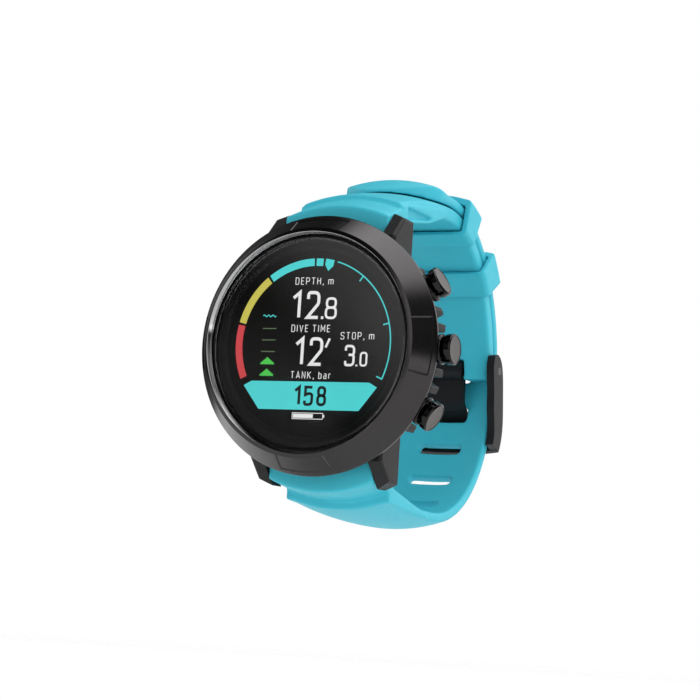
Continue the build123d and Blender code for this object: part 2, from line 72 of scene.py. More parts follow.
def add_camera():
    azimuth, elevation, roll = (math.radians(a) for a in (VIEW_AZIMUTH, VIEW_ELEVATION, VIEW_ROLL))
    back = Vector((math.sin(azimuth) * math.cos(elevation),
                   -math.cos(azimuth) * math.cos(elevation), math.sin(elevation)))
    level = Vector((math.cos(azimuth), math.sin(azimuth), 0))
    upright = back.cross(level)
    right = math.cos(roll) * level + math.sin(roll) * upright
    up = math.cos(roll) * upright - math.sin(roll) * level
    place = at(0, 0, 0) + back * VIEW_DISTANCE * MM
    target = at(0, 0, 0) + (right * AIM_RIGHT + up * AIM_UP) * MM
    z_axis = (place - target).normalized()
    x_axis = up.cross(z_axis).normalized()
    y_axis = z_axis.cross(x_axis)
    data = bpy.data.cameras.new("camera")
    data.lens = VIEW_LENS
    data.sensor_width = 36
    data.clip_start = 0.01
    camera = bpy.data.objects.new("camera", data)
    bpy.context.scene.collection.objects.link(camera)
    turn = Matrix((x_axis, y_axis, z_axis)).transposed()
    camera.matrix_world = Matrix.Translation(place) @ turn.to_4x4()
    bpy.context.scene.camera = camera


# ---- studio ------------------------------------------------------------------------------------
# Each soft lamp is a round patch of the sky: its direction, the cosines where it is full and where it
# ends, and its strength.
LAMPS = {
    "overhead": ((0.29, 0.26, 0.92), 0.975, 0.80, 3.0),
    "camera_side": ((0.70, -0.62, 0.35), 0.96, 0.76, 1.4),
    "lens_sheen": ((-0.25, -0.90, 0.36), 0.975, 0.935, 0.2),
    "right_strip": ((0.97, -0.05, -0.22), 0.992, 0.975, 2.5),
    "left": ((-0.90, 0.10, 0.40), 0.98, 0.85, 1.2),
    "behind": ((0.40, 0.88, 0.25), 0.96, 0.78, 1.2),
}
AMBIENT = 0.05
FILL = 0.50                 # added from all round for diffuse rays only
FLOOR_Z = -0.078            # metres, as are the floor's rings and where it fades out
FLOOR_RINGS = (0.1, 0.25, 0.5, 0.9, 1.4)
FLOOR_FADE = (0.25, 1.2)
FLOOR_STEPS = 96


def wire(tree, kind, **inputs):
    """A node with its inputs set by value or joined to another node's output."""
    node = tree.nodes.new(kind)
    for name, value in inputs.items():
        socket = node.inputs[int(name[1:])] if name[0] == "i" and name[1:].isdigit() else node.inputs[name]
        if isinstance(value, bpy.types.NodeSocket):
            tree.links.new(value, socket)
        else:
            socket.default_value = value
    return node


def maths(tree, operation, a, b=0.0):
    node = wire(tree, "ShaderNodeMath", i0=a, i1=b)
    node.operation = operation
    return node.outputs[0]


def smooth_range(tree, value, low, high, to_low=0.0, to_high=1.0):
    node = wire(tree, "ShaderNodeMapRange", i0=value, i1=low, i2=high, i3=to_low, i4=to_high)
    node.interpolation_type = "SMOOTHSTEP"
    return node.outputs[0]


def studio_sky():
    world = bpy.data.worlds.new("studio_sky")
    bpy.context.scene.world = world
    world.use_nodes = True
    tree = world.node_tree
    tree.nodes.clear()
    direction = tree.nodes.new("ShaderNodeTexCoord").outputs["Generated"]
    total = None
    for aim, full, end, strength in LAMPS.values():
        near = wire(tree, "ShaderNodeVectorMath", i0=direction, i1=Vector(aim).normalized())
        near.operation = "DOT_PRODUCT"
        patch = smooth_range(tree, near.outputs["Value"], end, full, 0.0, strength)
        total = maths(tree, "ADD", total, patch) if total else maths(tree, "ADD", patch, AMBIENT)
    path = tree.nodes.new("ShaderNodeLightPath")
    total = maths(tree, "ADD", total, maths(tree, "MULTIPLY", path.outputs["Is Diffuse Ray"], FILL))
    lit = wire(tree, "ShaderNodeBackground", Color=(1, 1, 1, 1), Strength=total)
    seen = wire(tree, "ShaderNodeBackground", Color=(1, 1, 1, 1), Strength=1.0)
    both = wire(tree, "ShaderNodeMixShader", i0=path.outputs["Is Camera Ray"],
                i1=lit.outputs[0], i2=seen.outputs[0])
    wire(tree, "ShaderNodeOutputWorld", Surface=both.outputs[0])


def studio_floor():
    """A pale floor that fades into the backdrop."""
    steps = FLOOR_STEPS
    points, faces = [(0, 0, FLOOR_Z)], []
    for radius in FLOOR_RINGS:
        for k in range(steps):
            turn = math.tau * k / steps
            points.append((radius * math.cos(turn), radius * math.sin(turn), FLOOR_Z))
    for k in range(steps):
        following = (k + 1) % steps
        faces.append((0, 1 + k, 1 + following))
        for ring in range(len(FLOOR_RINGS) - 1):
            inner, outer = 1 + ring * steps, 1 + (ring + 1) * steps
            faces.append((inner + k, outer + k, outer + following, inner + following))
    mesh = bpy.data.meshes.new("floor")
    mesh.from_pydata(points, [], faces)
    floor = bpy.data.objects.new("floor", mesh)
    bpy.context.scene.collection.objects.link(floor)
    material = bpy.data.materials.new("floor_paper")
    material.use_nodes = True
    tree = material.node_tree
    shader = tree.nodes["Principled BSDF"]
    shader.inputs["Base Color"].default_value = (0.86, 0.86, 0.86, 1)
    shader.inputs["Roughness"].default_value = 0.9
    shader.inputs["Specular IOR Level"].default_value = 0.1
    place = tree.nodes.new("ShaderNodeTexCoord").outputs["Object"]
    far = wire(tree, "ShaderNodeVectorMath", i0=place)
    far.operation = "LENGTH"
    fade = smooth_range(tree, far.outputs["Value"], *FLOOR_FADE, 1.0, 0.0)
    tree.links.new(fade, shader.inputs["Alpha"])
    mesh.materials.append(material)


# ---- materials ---------------------------------------------------------------------------------
def new_material(name, colour, roughness, metallic=0.0):
    material = bpy.data.materials.new(name)
    material.use_nodes = True
    shader = material.node_tree.nodes["Principled BSDF"]
    shader.inputs["Base Color"].default_value = (*colour, 1)
    shader.inputs["Roughness"].default_value = roughness
    shader.inputs["Metallic"].default_value = metallic
    return material, material.node_tree, shader


def noise(tree, size):
    """Noise with features of about this size in metres, fixed to the piece."""
    place = tree.nodes.new("ShaderNodeTexCoord").outputs["Object"]
    return wire(tree, "ShaderNodeTexNoise", Vector=place, Scale=1 / size, Detail=3.0).outputs["Fac"]


def bump(tree, shader, height, distance):
    node = wire(tree, "ShaderNodeBump", Height=height, Distance=distance, Strength=1.0)
    tree.links.new(node.outputs[0], shader.inputs["Normal"])


def mottle(tree, shader, dark, light, size):
    """Slow drift between two shades of the same colour."""
    mix = wire(tree, "ShaderNodeMix", Factor=noise(tree, size))
    mix.data_type = "RGBA"
    mix.inputs["A"].default_value = (*dark, 1)
    mix.inputs["B"].default_value = (*light, 1)
    tree.links.new(mix.outputs["Result"], shader.inputs["Base Color"])


def vary_roughness(tree, shader, low, high, size):
    tree.links.new(smooth_range(tree, noise(tree, size), 0.3, 0.7, low, high), shader.inputs["Roughness"])


def plain(name, dark, light, roughness, grain, depth, metallic=0.0, specular=0.5):
    """A moulded, cast or coated finish: two close shades, a fine grain and uneven gloss."""
    material, tree, shader = new_material(name, light, roughness, metallic)
    shader.inputs["Specular IOR Level"].default_value = specular
    mottle(tree, shader, dark, light, 8 * grain)
    vary_roughness(tree, shader, roughness * 0.94, min(1.0, roughness * 1.06), 3 * grain)
    if depth:
        bump(tree, shader, noise(tree, grain), depth)
    return material


def silicone():
    material, tree, shader = new_material("strap_silicone", (0.045, 0.48, 0.60), 0.5)
    mottle(tree, shader, (0.040, 0.47, 0.59), (0.050, 0.49, 0.61), 6 * MM)
    vary_roughness(tree, shader, 0.48, 0.56, 0.8 * MM)
    bump(tree, shader, noise(tree, 0.12 * MM), 0.001 * MM)
    shader.inputs["Specular IOR Level"].default_value = 0.3
    shader.inputs["Subsurface Weight"].default_value = 0.1
    shader.inputs["Subsurface Radius"].default_value = (0.2, 0.8, 1.0)
    shader.inputs["Subsurface Scale"].default_value = 0.5 * MM
    return material


def glass():
    material, tree, shader = new_material("sapphire", (1, 1, 1), 0.0)
    shader.inputs["Transmission Weight"].default_value = 1.0
    shader.inputs["IOR"].default_value = 1.5
    mottle(tree, shader, (0.98, 0.99, 0.99), (1.0, 1.0, 1.0), 5 * MM)
    return material


def materials():
    polymer, polymer_light = (0.010, 0.010, 0.011), (0.013, 0.013, 0.014)
    made = [
        plain("case_polymer", polymer, polymer_light, 0.5, 0.15 * MM, 0.001 * MM, specular=0.22),
        plain("black_steel", (0.048, 0.045, 0.046), (0.056, 0.053, 0.054), 0.21, 0.2 * MM, 0, 1.0),
        plain("polished_steel", (0.40, 0.40, 0.405), (0.44, 0.44, 0.445), 0.08, 0.2 * MM, 0, 1.0),
        plain("seal_rubber", (0.006, 0.006, 0.006), (0.01, 0.01, 0.01), 0.7, 0.2 * MM, 0.005 * MM,
              specular=0.2),
        plain("back_plate", (0.014, 0.014, 0.015), (0.02, 0.02, 0.022), 0.5, 0.15 * MM, 0.001 * MM),
        plain("screw_steel", (0.40, 0.40, 0.41), (0.50, 0.50, 0.51), 0.3, 0.05 * MM, 0, 1.0),
        plain("gold_contact", (0.78, 0.54, 0.22), (0.88, 0.64, 0.30), 0.25, 0.05 * MM, 0, 1.0),
        plain("inner_plastic", (0.06, 0.06, 0.065), (0.08, 0.08, 0.085), 0.55, 0.2 * MM, 0.005 * MM),
        plain("display_black", (0.001, 0.001, 0.001), (0.002, 0.002, 0.002), 0.3, 0.3 * MM, 0,
              specular=0.1),
        plain("backlight_sheet", (0.75, 0.75, 0.73), (0.80, 0.80, 0.78), 0.5, 0.2 * MM, 0.002 * MM),
        plain("ribbon_film", (0.45, 0.24, 0.08), (0.50, 0.28, 0.10), 0.35, 0.2 * MM, 0.002 * MM),
        plain("circuit_board", (0.015, 0.12, 0.05), (0.02, 0.15, 0.07), 0.35, 0.2 * MM, 0.002 * MM),
        plain("chip_black", (0.015, 0.015, 0.015), (0.02, 0.02, 0.02), 0.6, 0.05 * MM, 0.001 * MM),
        plain("battery_foil", (0.50, 0.50, 0.52), (0.60, 0.60, 0.62), 0.35, 1 * MM, 0.02 * MM, 1.0),
        plain("brass_disc", (0.70, 0.55, 0.25), (0.78, 0.62, 0.30), 0.3, 0.05 * MM, 0, 1.0),
        plain("buckle_black", (0.012, 0.012, 0.013), (0.016, 0.016, 0.017), 0.45, 0.1 * MM, 0.001 * MM,
              specular=0.16),
        plain("button_steel", (0.085, 0.080, 0.076), (0.10, 0.094, 0.09), 0.36, 0.1 * MM, 0, 1.0),
        plain("button_polish", (0.02, 0.02, 0.02), (0.028, 0.028, 0.028), 0.12, 0.2 * MM, 0, 1.0),
        plain("spring_steel", (0.50, 0.50, 0.50), (0.60, 0.60, 0.60), 0.3, 0.05 * MM, 0, 1.0),
        silicone(),
        glass(),
    ]
    return {material.name.split(".")[0]: material for material in made}


def dress_cad_nodes(by_slot):
    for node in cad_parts.values():
        for place in node.material_slots:
            slot = place.material.name.split(".")[0]
            if slot in by_slot:
                place.material = by_slot[slot]


# ---- mesh tools --------------------------------------------------------------------------------
WELD = 0.003 * MM           # points nearer than this become one, which closes turned pieces
ON_AXIS = 0.001             # how near a turned profile comes to its axis
CORNER_SHARE = 0.499        # a round corner takes at most this much of a side
MITRE_LIMIT = 0.35          # keeps the outside of a sharp corner short
ARC_STEP = 1.5              # degrees


def sharp_edges(piece, degrees):
    piece.data.set_sharp_from_angle(angle=math.radians(degrees))


def new_piece(name, points, faces, material, body=WATCH, smooth=False, second=None):
    """A closed mesh piece from points in metres, riding on a body.

    second is a pair: another material, and a test that picks its faces by their number.
    """
    mesh = bpy.data.meshes.new(name)
    mesh.from_pydata([tuple(p) for p in points], [], faces)
    if second:
        for number, face in enumerate(mesh.polygons):
            face.material_index = int(second[1](number))
    work = bmesh.new()
    work.from_mesh(mesh)
    bmesh.ops.remove_doubles(work, verts=work.verts, dist=WELD)
    bare = [edge for edge in work.edges if not edge.link_faces]
    bmesh.ops.delete(work, geom=bare, context="EDGES")
    bmesh.ops.recalc_face_normals(work, faces=work.faces)
    work.to_mesh(mesh)
    work.free()
    piece = bpy.data.objects.new(name, mesh)
    bpy.context.scene.collection.objects.link(piece)
    mesh.materials.append(material)
    if second:
        mesh.materials.append(second[0])
    if smooth:
        mesh.shade_smooth()
    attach(piece, body)
    return piece


def rounded(corners, closed=False, steps=7):
    """A path through (x, y, radius) corners, with each corner turned as a smooth curve."""
    path = []
    count = len(corners)
    for i, (x, y, radius) in enumerate(corners):
        here = Vector((x, y))
        if radius == 0 or (not closed and i in (0, count - 1)):
            path.append(here)
            continue
        before = Vector(corners[i - 1][:2]) - here
        after = Vector(corners[(i + 1) % count][:2]) - here
        turn = before.angle(after)
        room = CORNER_SHARE * min(before.length, after.length)
        reach = min(radius / math.tan(turn / 2), room)
        start, end = here + before.normalized() * reach, here + after.normalized() * reach
        for k in range(steps + 1):
            t = k / steps
            path.append((1 - t) ** 2 * start + 2 * t * (1 - t) * here + t ** 2 * end)
    return path


def offset_sides(path, half, closed):
    """The two sides of a strip of even width along a flat path."""
    left, right = [], []
    count = len(path)
    for i, here in enumerate(path):
        before = path[i - 1] if i or closed else None
        after = path[(i + 1) % count] if i < count - 1 or closed else None
        a = (here - before) if before is not None and (here - before).length > 1e-9 else (after - here)
        b = (after - here) if after is not None and (after - here).length > 1e-9 else a
        mean = a.normalized() + b.normalized()
        normal = Vector((-mean.y, mean.x)).normalized()
        reach = half / max(MITRE_LIMIT, normal.dot(Vector((-a.y, a.x)).normalized()))
        left.append(here + normal * reach)
        right.append(here - normal * reach)
    return left, right


SCREEN_DEPTH = 1.95         # display face, behind the dial plane
INK = 0.03                  # thickness of a lit shape
SPACE = 0.32                # width of a space, for letters one unit high


def on_dial(radius, degrees):
    a = math.radians(degrees)
    return Vector((radius * math.cos(a), radius * math.sin(a)))


def box(x0, x1, z0, z1):
    return [(x0, z0), (x1, z0), (x1, z1), (x0, z1)]


class Sheet:
    """Thin flat shapes on the display, gathered into one mesh. Sizes are in millimetres."""

    def __init__(self, depth=SCREEN_DEPTH):
        self.depth = depth
        self.points, self.faces = [], []

    def strip(self, path, width, closed=False):
        left, right = offset_sides(path, width / 2, closed)
        base = len(self.points)
        count = len(path)
        for depth in (self.depth - INK, self.depth):
            for side in (left, right):
                self.points += [at(p.x, depth, p.y) for p in side]
        spans = count if closed else count - 1
        for i in range(spans):
            j = (i + 1) % count
            a, b, c, d = (base + k * count for k in range(4))
            self.faces += [(a + i, a + j, b + j, b + i), (c + j, c + i, d + i, d + j),
                           (a + j, a + i, c + i, c + j), (b + i, b + j, d + j, d + i)]
        if not closed:
            a, b, c, d = (base + k * count for k in range(4))
            last = count - 1
            self.faces += [(a, b, d, c), (b + last, a + last, c + last, d + last)]

    def polygon(self, outline):
        base = len(self.points)
        count = len(outline)
        for depth in (self.depth - INK, self.depth):
            self.points += [at(x, depth, z) for x, z in outline]
        self.faces.append(tuple(base + i for i in range(count)))
        self.faces.append(tuple(base + count + i for i in reversed(range(count))))
        for i in range(count):
            j = (i + 1) % count
            self.faces.append((base + j, base + i, base + count + i, base + count + j))

    def arc(self, radius, start, end, width):
        steps = max(2, int(abs(end - start) / ARC_STEP))
        path = [on_dial(radius, start + (end - start) * k / steps) for k in range(steps + 1)]
        self.strip(path, width)

    def text(self, words, x, z, height, weight, gap, squeeze):
        """Writes words with stroked letters, starting from (x, z)."""
        for letter in words:
            if letter == " ":
                x += SPACE * height * squeeze
                continue
            width, strokes = LETTERS[letter]
            for closed, corners in strokes:
                scaled = [(x + cx * height * squeeze + weight / 2, z + weight / 2 + cy * (height - weight),
                           r * height) for cx, cy, r in corners]
                self.strip(rounded(scaled, closed), weight, closed)
            x += width * height * squeeze + weight + gap * height * squeeze

    def make(self, name, material):
        new_piece(name, self.points, self.faces, material)


def letters():
    """Stroke letters one unit high: width, then strokes as (closed, corners with radii).

    w and n are the usual widths of digits and capitals, h and q the radii of their round corners.
    """
    w, h = 0.38, 0.19
    n, q = 0.38, 0.19
    return {
        "0": (w, [(True, [(0, 0, h), (w, 0, h), (w, 1, h), (0, 1, h)])]),
        "1": (0.22, [(False, [(0, 0.78, 0), (0.22, 1, 0), (0.22, 0, 0)])]),
        "2": (w, [(False, [(0, 0.74, 0), (0, 1, h), (w, 1, h), (w, 0.56, h), (0, 0, 0), (w, 0, 0)])]),
        "3": (w, [(False, [(0, 0.76, 0), (0, 1, h), (w, 1, h), (w, 0.54, h), (0.14, 0.54, 0)]),
                  (False, [(0.14, 0.54, 0), (w, 0.54, h), (w, 0, h), (0, 0, h), (0, 0.22, 0)])]),
        "5": (w, [(False, [(w, 1, 0), (0.02, 1, 0), (0.02, 0.55, 0), (0.2, 0.64, 0.1), (w, 0.6, h),
                           (w, 0, h), (0, 0, h), (0, 0.22, 0)])]),
        "8": (w, [(True, [(0, 0, h), (w, 0, h), (w, 0.53, h), (0, 0.53, h)]),
                  (True, [(0.02, 0.53, h), (w - 0.02, 0.53, h), (w - 0.02, 1, h), (0.02, 1, h)])]),
        "'": (0.1, [(False, [(0.14, 1, 0), (0, 0.66, 0)])]),
        ".": (0.0, [(False, [(0, -0.07, 0), (0, 0.07, 0)])]),
        ",": (0.05, [(False, [(0.06, 0.1, 0), (0, -0.16, 0)])]),
        "D": (n, [(True, [(0, 0, 0), (n, 0, q), (n, 1, q), (0, 1, 0)])]),
        "E": (0.3, [(False, [(0.3, 1, 0), (0, 1, 0), (0, 0, 0), (0.3, 0, 0)]),
                    (False, [(0, 0.52, 0), (0.27, 0.52, 0)])]),
        "P": (n, [(False, [(0, 0, 0), (0, 1, 0), (n, 1, q), (n, 0.44, q), (0, 0.44, 0)])]),
        "T": (n, [(False, [(0, 1, 0), (n, 1, 0)]), (False, [(n / 2, 1, 0), (n / 2, 0, 0)])]),
        "H": (n, [(False, [(0, 0, 0), (0, 1, 0)]),
                  (False, [(n, 0, 0), (n, 1, 0)]),
                  (False, [(0, 0.52, 0), (n, 0.52, 0)])]),
        "I": (0.0, [(False, [(0, 0, 0), (0, 1, 0)])]),
        "V": (0.38, [(False, [(0, 1, 0), (0.19, 0, 0), (0.38, 1, 0)])]),
        "M": (0.46, [(False, [(0, 0, 0), (0, 1, 0), (0.23, 0.3, 0), (0.46, 1, 0), (0.46, 0, 0)])]),
        "S": (n, [(False, [(n, 0.8, 0), (n, 1, q), (0, 1, q), (0, 0.54, q), (n, 0.46, q),
                           (n, 0, q), (0, 0, q), (0, 0.2, 0)])]),
        "O": (n, [(True, [(0, 0, q), (n, 0, q), (n, 1, q), (0, 1, q)])]),
        "A": (0.4, [(False, [(0, 0, 0), (0.2, 1, 0), (0.4, 0, 0)]),
                    (False, [(0.06, 0.28, 0), (0.34, 0.28, 0)])]),
        "N": (0.36, [(False, [(0, 0, 0), (0, 1, 0), (0.36, 0, 0), (0.36, 1, 0)])]),
        "K": (n, [(False, [(0, 0, 0), (0, 1, 0)]),
                  (False, [(n, 1, 0), (0, 0.42, 0)]),
                  (False, [(0.12, 0.56, 0), (n, 0, 0)])]),
        "m": (0.56, [(False, [(0, 0, 0), (0, 0.72, 0.08), (0.28, 0.72, 0.12), (0.28, 0, 0)]),
                     (False, [(0.28, 0.5, 0), (0.28, 0.72, 0.08), (0.56, 0.72, 0.12), (0.56, 0, 0)])]),
        "b": (0.31, [(False, [(0, 1, 0), (0, 0, 0), (0.31, 0, 0.15), (0.31, 0.72, 0.15), (0, 0.72, 0)])]),
        "a": (0.29, [(False, [(0.03, 0.72, 0), (0.29, 0.72, 0.14), (0.29, 0, 0)]),
                     (True, [(0, 0, 0.1), (0.29, 0, 0), (0.29, 0.41, 0), (0, 0.41, 0.1)])]),
        "r": (0.2, [(False, [(0, 0, 0), (0, 0.72, 0.1), (0.2, 0.72, 0)])]),
    }


LETTERS = letters()


# ---- display -----------------------------------------------------------------------------------
GAUGE_R = 17.7
GAUGE_WIDTH = 1.55
GAUGE_MIDDLE = GAUGE_R - GAUGE_WIDTH / 2
GAUGE_LINE = 0.26           # width of the thin arc that carries the gauge on, and of its ticks
GAUGE_BANDS = (("yellow", (0.58, 0.52, 0.085), 129.0, 165.6), ("red", (0.62, 0.055, 0.065), 167.2, 204.8))
LABELS = (("DEPTH, m", -4.75, 12.25), ("DIVE TIME", -5.0, 2.45),
          ("STOP, m", 6.35, 1.0), ("TANK, bar", -4.5, -7.15))
# A reading is its characters, where they start, their height, stroke weight, gap and squeeze.
READINGS = (
    ("12", -5.25, 5.15, 5.8, 0.66, 0.21, 1.09),
    (".", 1.6, 5.15, 4.5, 0.55, 0.2, 1.0),
    ("8", 2.4, 5.15, 4.5, 0.5, 0.2, 1.3),
    ("12", -3.9, -4.5, 5.9, 0.66, 0.21, 1.07),
    ("'", 2.85, -4.5, 5.9, 0.5, 0.2, 1.0),
    ("3", 7.5, -4.5, 4.4, 0.5, 0.2, 1.1),
    (".", 10.1, -4.5, 3.0, 0.4, 0.2, 1.0),
    ("0", 10.95, -4.5, 3.0, 0.4, 0.2, 1.15),
)
TANK_READING = ("158", -3.45, -12.75, 4.15, 0.6, 0.17, 1.03)
LABEL = {"height": 1.5, "weight": 0.145, "gap": 0.24, "squeeze": 1.22}


def lit(name, colour):
    """A lit display colour: a fine pixel lattice and a slight drift of the backlight."""
    material, tree, shader = new_material(name, (0.002, 0.002, 0.002), 0.4)
    place = tree.nodes.new("ShaderNodeTexCoord").outputs["Object"]
    lattice = wire(tree, "ShaderNodeTexWave", Vector=place, Scale=2200.0, Distortion=0.0)
    lattice.wave_profile = "SIN"
    drift = smooth_range(tree, noise(tree, 9 * MM), 0.3, 0.7, 0.97, 1.03)
    level = smooth_range(tree, lattice.outputs["Fac"], 0.0, 1.0, 0.97, 1.03)
    shader.inputs["Emission Color"].default_value = (*colour, 1)
    tree.links.new(maths(tree, "MULTIPLY", level, drift), shader.inputs["Emission Strength"])
    return material


def dark_screen():
    """The unlit display: black, with a painted reflection, a faint sheen of emission growing to the upper
    right.
    """
    material, tree, shader = new_material("screen_dark", (0.001, 0.001, 0.001), 0.4)
    shader.inputs["Specular IOR Level"].default_value = 0.1
    place = tree.nodes.new("ShaderNodeTexCoord").outputs["Object"]
    across = wire(tree, "ShaderNodeVectorMath", i0=place, i1=(0.75, 0.0, 0.66))
    across.operation = "DOT_PRODUCT"
    # Painted sheen: emission that brightens the screen towards the upper right, drifting slightly at
    # random.
    painted_sheen = smooth_range(tree, across.outputs["Value"], -4 * MM, 21 * MM, 0.0, 0.030)
    drift = smooth_range(tree, noise(tree, 9 * MM), 0.3, 0.7, 0.96, 1.04)
    shader.inputs["Emission Color"].default_value = (1.0, 0.97, 0.97, 1)
    tree.links.new(maths(tree, "MULTIPLY", painted_sheen, drift), shader.inputs["Emission Strength"])
    return material


def gauge(cyan):
    """The round gauge with its pointer, ticks and coloured bands, and the small wave beside it."""
    line = Sheet()
    line.arc(GAUGE_MIDDLE, 92.2, 127.3, GAUGE_WIDTH)
    line.arc(GAUGE_MIDDLE, 85.4, 90.6, GAUGE_WIDTH)
    top = GAUGE_R + 0.05
    pointer = ((83.8, 16.5), (80.4, 15.3), (77.2, 16.5), (77.4, top), (83.6, top))
    line.polygon([on_dial(radius, angle) for angle, radius in pointer])
    line.arc(GAUGE_R - 0.12, 74.8, -23.6, GAUGE_LINE)
    for angle in (52.8, 14.5, -23.4):
        line.strip([on_dial(radius, angle) for radius in (GAUGE_R - 1.45, GAUGE_R)], GAUGE_LINE)
    wave = [Vector((-11.7 + 0.1 * k, 5.75 + 0.19 * math.sin(math.tau * k / 10))) for k in range(31)]
    line.strip(wave, 0.18)
    line.make("display_gauge_line", cyan)
    for name, colour, start, end in GAUGE_BANDS:
        band = Sheet()
        band.arc(GAUGE_MIDDLE, start, end, GAUGE_WIDTH)
        band.make(f"display_gauge_{name}", lit(f"screen_{name}", colour))


def readings(white):
    labels = Sheet()
    for words, x, z in LABELS:
        labels.text(words, x, z, **LABEL)
    labels.make("display_labels", white)
    digits = Sheet()
    for reading in READINGS:
        digits.text(*reading)
    digits.make("display_digits", white)


def tank(cyan):
    band = Sheet(SCREEN_DEPTH)
    band.polygon([(-11.4, -13.55), (11.4, -13.55), (15.2, -8.7),
                  (13.4, -7.75), (-13.4, -7.75), (-15.2, -8.7)])
    band.make("display_tank_band", cyan)
    digits = Sheet(SCREEN_DEPTH - INK - 0.01)
    digits.text(*TANK_READING)
    black = plain("screen_black", (0.002, 0.004, 0.004), (0.003, 0.006, 0.006), 0.4, 0.2 * MM, 0.0001 * MM)
    digits.make("display_tank_digits", black)


def battery_mark(white):
    mark = Sheet()
    outline = [(x, z, 0.1) for x, z in box(-3.5, 3.45, -15.4, -14.2)]
    mark.strip(rounded(outline, True), 0.14, True)
    mark.polygon(box(-3.3, 1.2, -15.2, -14.4))
    mark.polygon(box(3.55, 3.8, -15.1, -14.5))
    mark.make("display_battery", white)


def ascent_scale():
    """Three dim dashes above two lit arrows, to the left of the readings."""
    left, right = -11.65, -8.5
    dashes = Sheet()
    for z in (3.13, 0.75, -1.65):
        dashes.strip([Vector((left, z)), Vector((right, z))], 0.2)
    dashes.make("display_ascent_marks", lit("screen_dim_green", (0.10, 0.16, 0.08)))
    arrows = Sheet()
    for z in (-4.3, -6.7):
        arrows.polygon([(left, z), (right, z), (right, z + 0.25), (-10.1, z + 1.5), (left, z + 0.25)])
    arrows.make("display_ascent_arrows", lit("screen_green", (0.07, 0.56, 0.075)))


def display():
    white = lit("screen_white", (0.84, 0.84, 0.84))
    cyan = lit("screen_cyan", (0.075, 0.66, 0.66))
    gauge(cyan)
    readings(white)
    tank(cyan)
    battery_mark(white)
    ascent_scale()


# ---- turned pieces -----------------------------------------------------------------------------
def lathe(name, profile, angles, material, change=None, second=None):
    """Turns a closed (radius, depth) profile about the dial axis.

    change may move a profile point, given its number, radius, depth and angle.
    """
    points, faces = [], []
    count = len(profile)
    for angle in angles:
        a = math.radians(angle)
        for i, (radius, depth) in enumerate(profile):
            if change:
                radius, depth = change(i, radius, depth, angle)
            points.append(at(radius * math.cos(a), depth, radius * math.sin(a)))
    turns = len(angles)
    for t in range(turns):
        for i in range(count):
            j = (i + 1) % count
            here, there = t * count, ((t + 1) % turns) * count
            faces.append((here + i, here + j, there + j, there + i))
    return new_piece(name, points, faces, material, smooth=True, second=second)


NOTCH_HALF = 13.0           # degrees either side of 12, 3, 6 and 9 o'clock
NOTCH_DEPTH = 0.2
NOTCH_FOOT = 0.79           # how far down the slope the pockets end
NOTCH_WALL = 0.03           # half of the wall at their foot, in the same measure
BEZEL_CREST, BEZEL_RIM = Vector((23.8, -1.6)), Vector((27.1, 3.5))
LENS_R = 21.85
LENS_FRONT, LENS_BACK = -0.9, 0.95
BORDER_R = (19.2, 21.8)     # black border behind the lens
BORDER_DEPTH = (1.0, 1.04)
SCREEN_R, SCREEN_BACK = 19.9, 2.15


def even_turns(step):
    return [k * step for k in range(round(360 / step))]


def bezel_angles():
    """Even turns, with close ones where a pocket ends."""
    angles = set(even_turns(1.0))
    for quarter in range(4):
        for side in (-1, 1):
            edge = quarter * 90 + side * NOTCH_HALF
            angles |= {(edge + k * 0.08) % 360 for k in range(-8, 9)}
    return sorted(angles)


def notch_share(angle):
    """1 inside a pocket, 0 outside, with a steep soft wall between."""
    off = abs((angle + 45) % 90 - 45)
    t = min(1.0, max(0.0, (NOTCH_HALF + 0.5 - off) / 1.0))
    return t * t * (3 - 2 * t)


def bezel(steel, polish):
    """The ring with its polished inner chamfer, and four pockets in its outer slope."""
    crest, rim = BEZEL_CREST, BEZEL_RIM
    shares = (0.02, 0.2, 0.4, 0.6, NOTCH_FOOT - NOTCH_WALL, NOTCH_FOOT, NOTCH_FOOT + NOTCH_WALL, 0.9)
    slope = [crest.lerp(rim, t) for t in shares]
    front = rounded([(22.3, 1.8, 0), (22.3, -0.9, 0.12), (22.95, -2.0, 0.14), (crest.x, crest.y, 0.2),
                     (*slope[0], 0)], steps=5)
    back = rounded([(*slope[-1], 0), (rim.x, rim.y, 0.5), (27.1, 4.1, 0.15), (26.8, 4.4, 0.1),
                    (24.45, 4.4, 0.1), (24.45, 1.8, 0)], steps=5)
    profile = front + slope[1:-1] + back
    inward = Vector((-(rim - crest).y, (rim - crest).x)).normalized()
    # A pocket holds the points from the rounded crest down to NOTCH_FOOT.
    first = len(front) - 4
    last = len(front) + 4

    def pocket(i, radius, depth, angle):
        if first <= i <= last:
            move = inward * NOTCH_DEPTH * notch_share(angle)
            return radius + move.x, depth + move.y
        return radius, depth

    polished = range(1, len(front) // 2)
    second = (polish, lambda number: number % len(profile) in polished)
    piece = lathe("bezel_ring", profile, bezel_angles(), steel, pocket, second)
    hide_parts("bezel")
    sharp_edges(piece, 38)


def lens(glass_material, dark):
    """The glass, the border behind it, and the dark face of the display; border and face both carry the
    painted sheen.
    """
    outline = rounded([(ON_AXIS, LENS_BACK, 0), (LENS_R, LENS_BACK, 0.05), (LENS_R, LENS_FRONT + 0.3, 0.05),
                       (LENS_R - 0.35, LENS_FRONT, 0.06), (ON_AXIS, LENS_FRONT, 0)], steps=4)
    piece = lathe("lens_glass", outline, even_turns(2.0), glass_material)
    sharp_edges(piece, 30)
    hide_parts("lens")
    lathe("lens_border", box(*BORDER_R, *BORDER_DEPTH), even_turns(2.0), dark)
    face = box(ON_AXIS, SCREEN_R, SCREEN_DEPTH, SCREEN_BACK)
    panel = lathe("display_screen", face, even_turns(3.0), dark)
    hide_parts("display_panel")


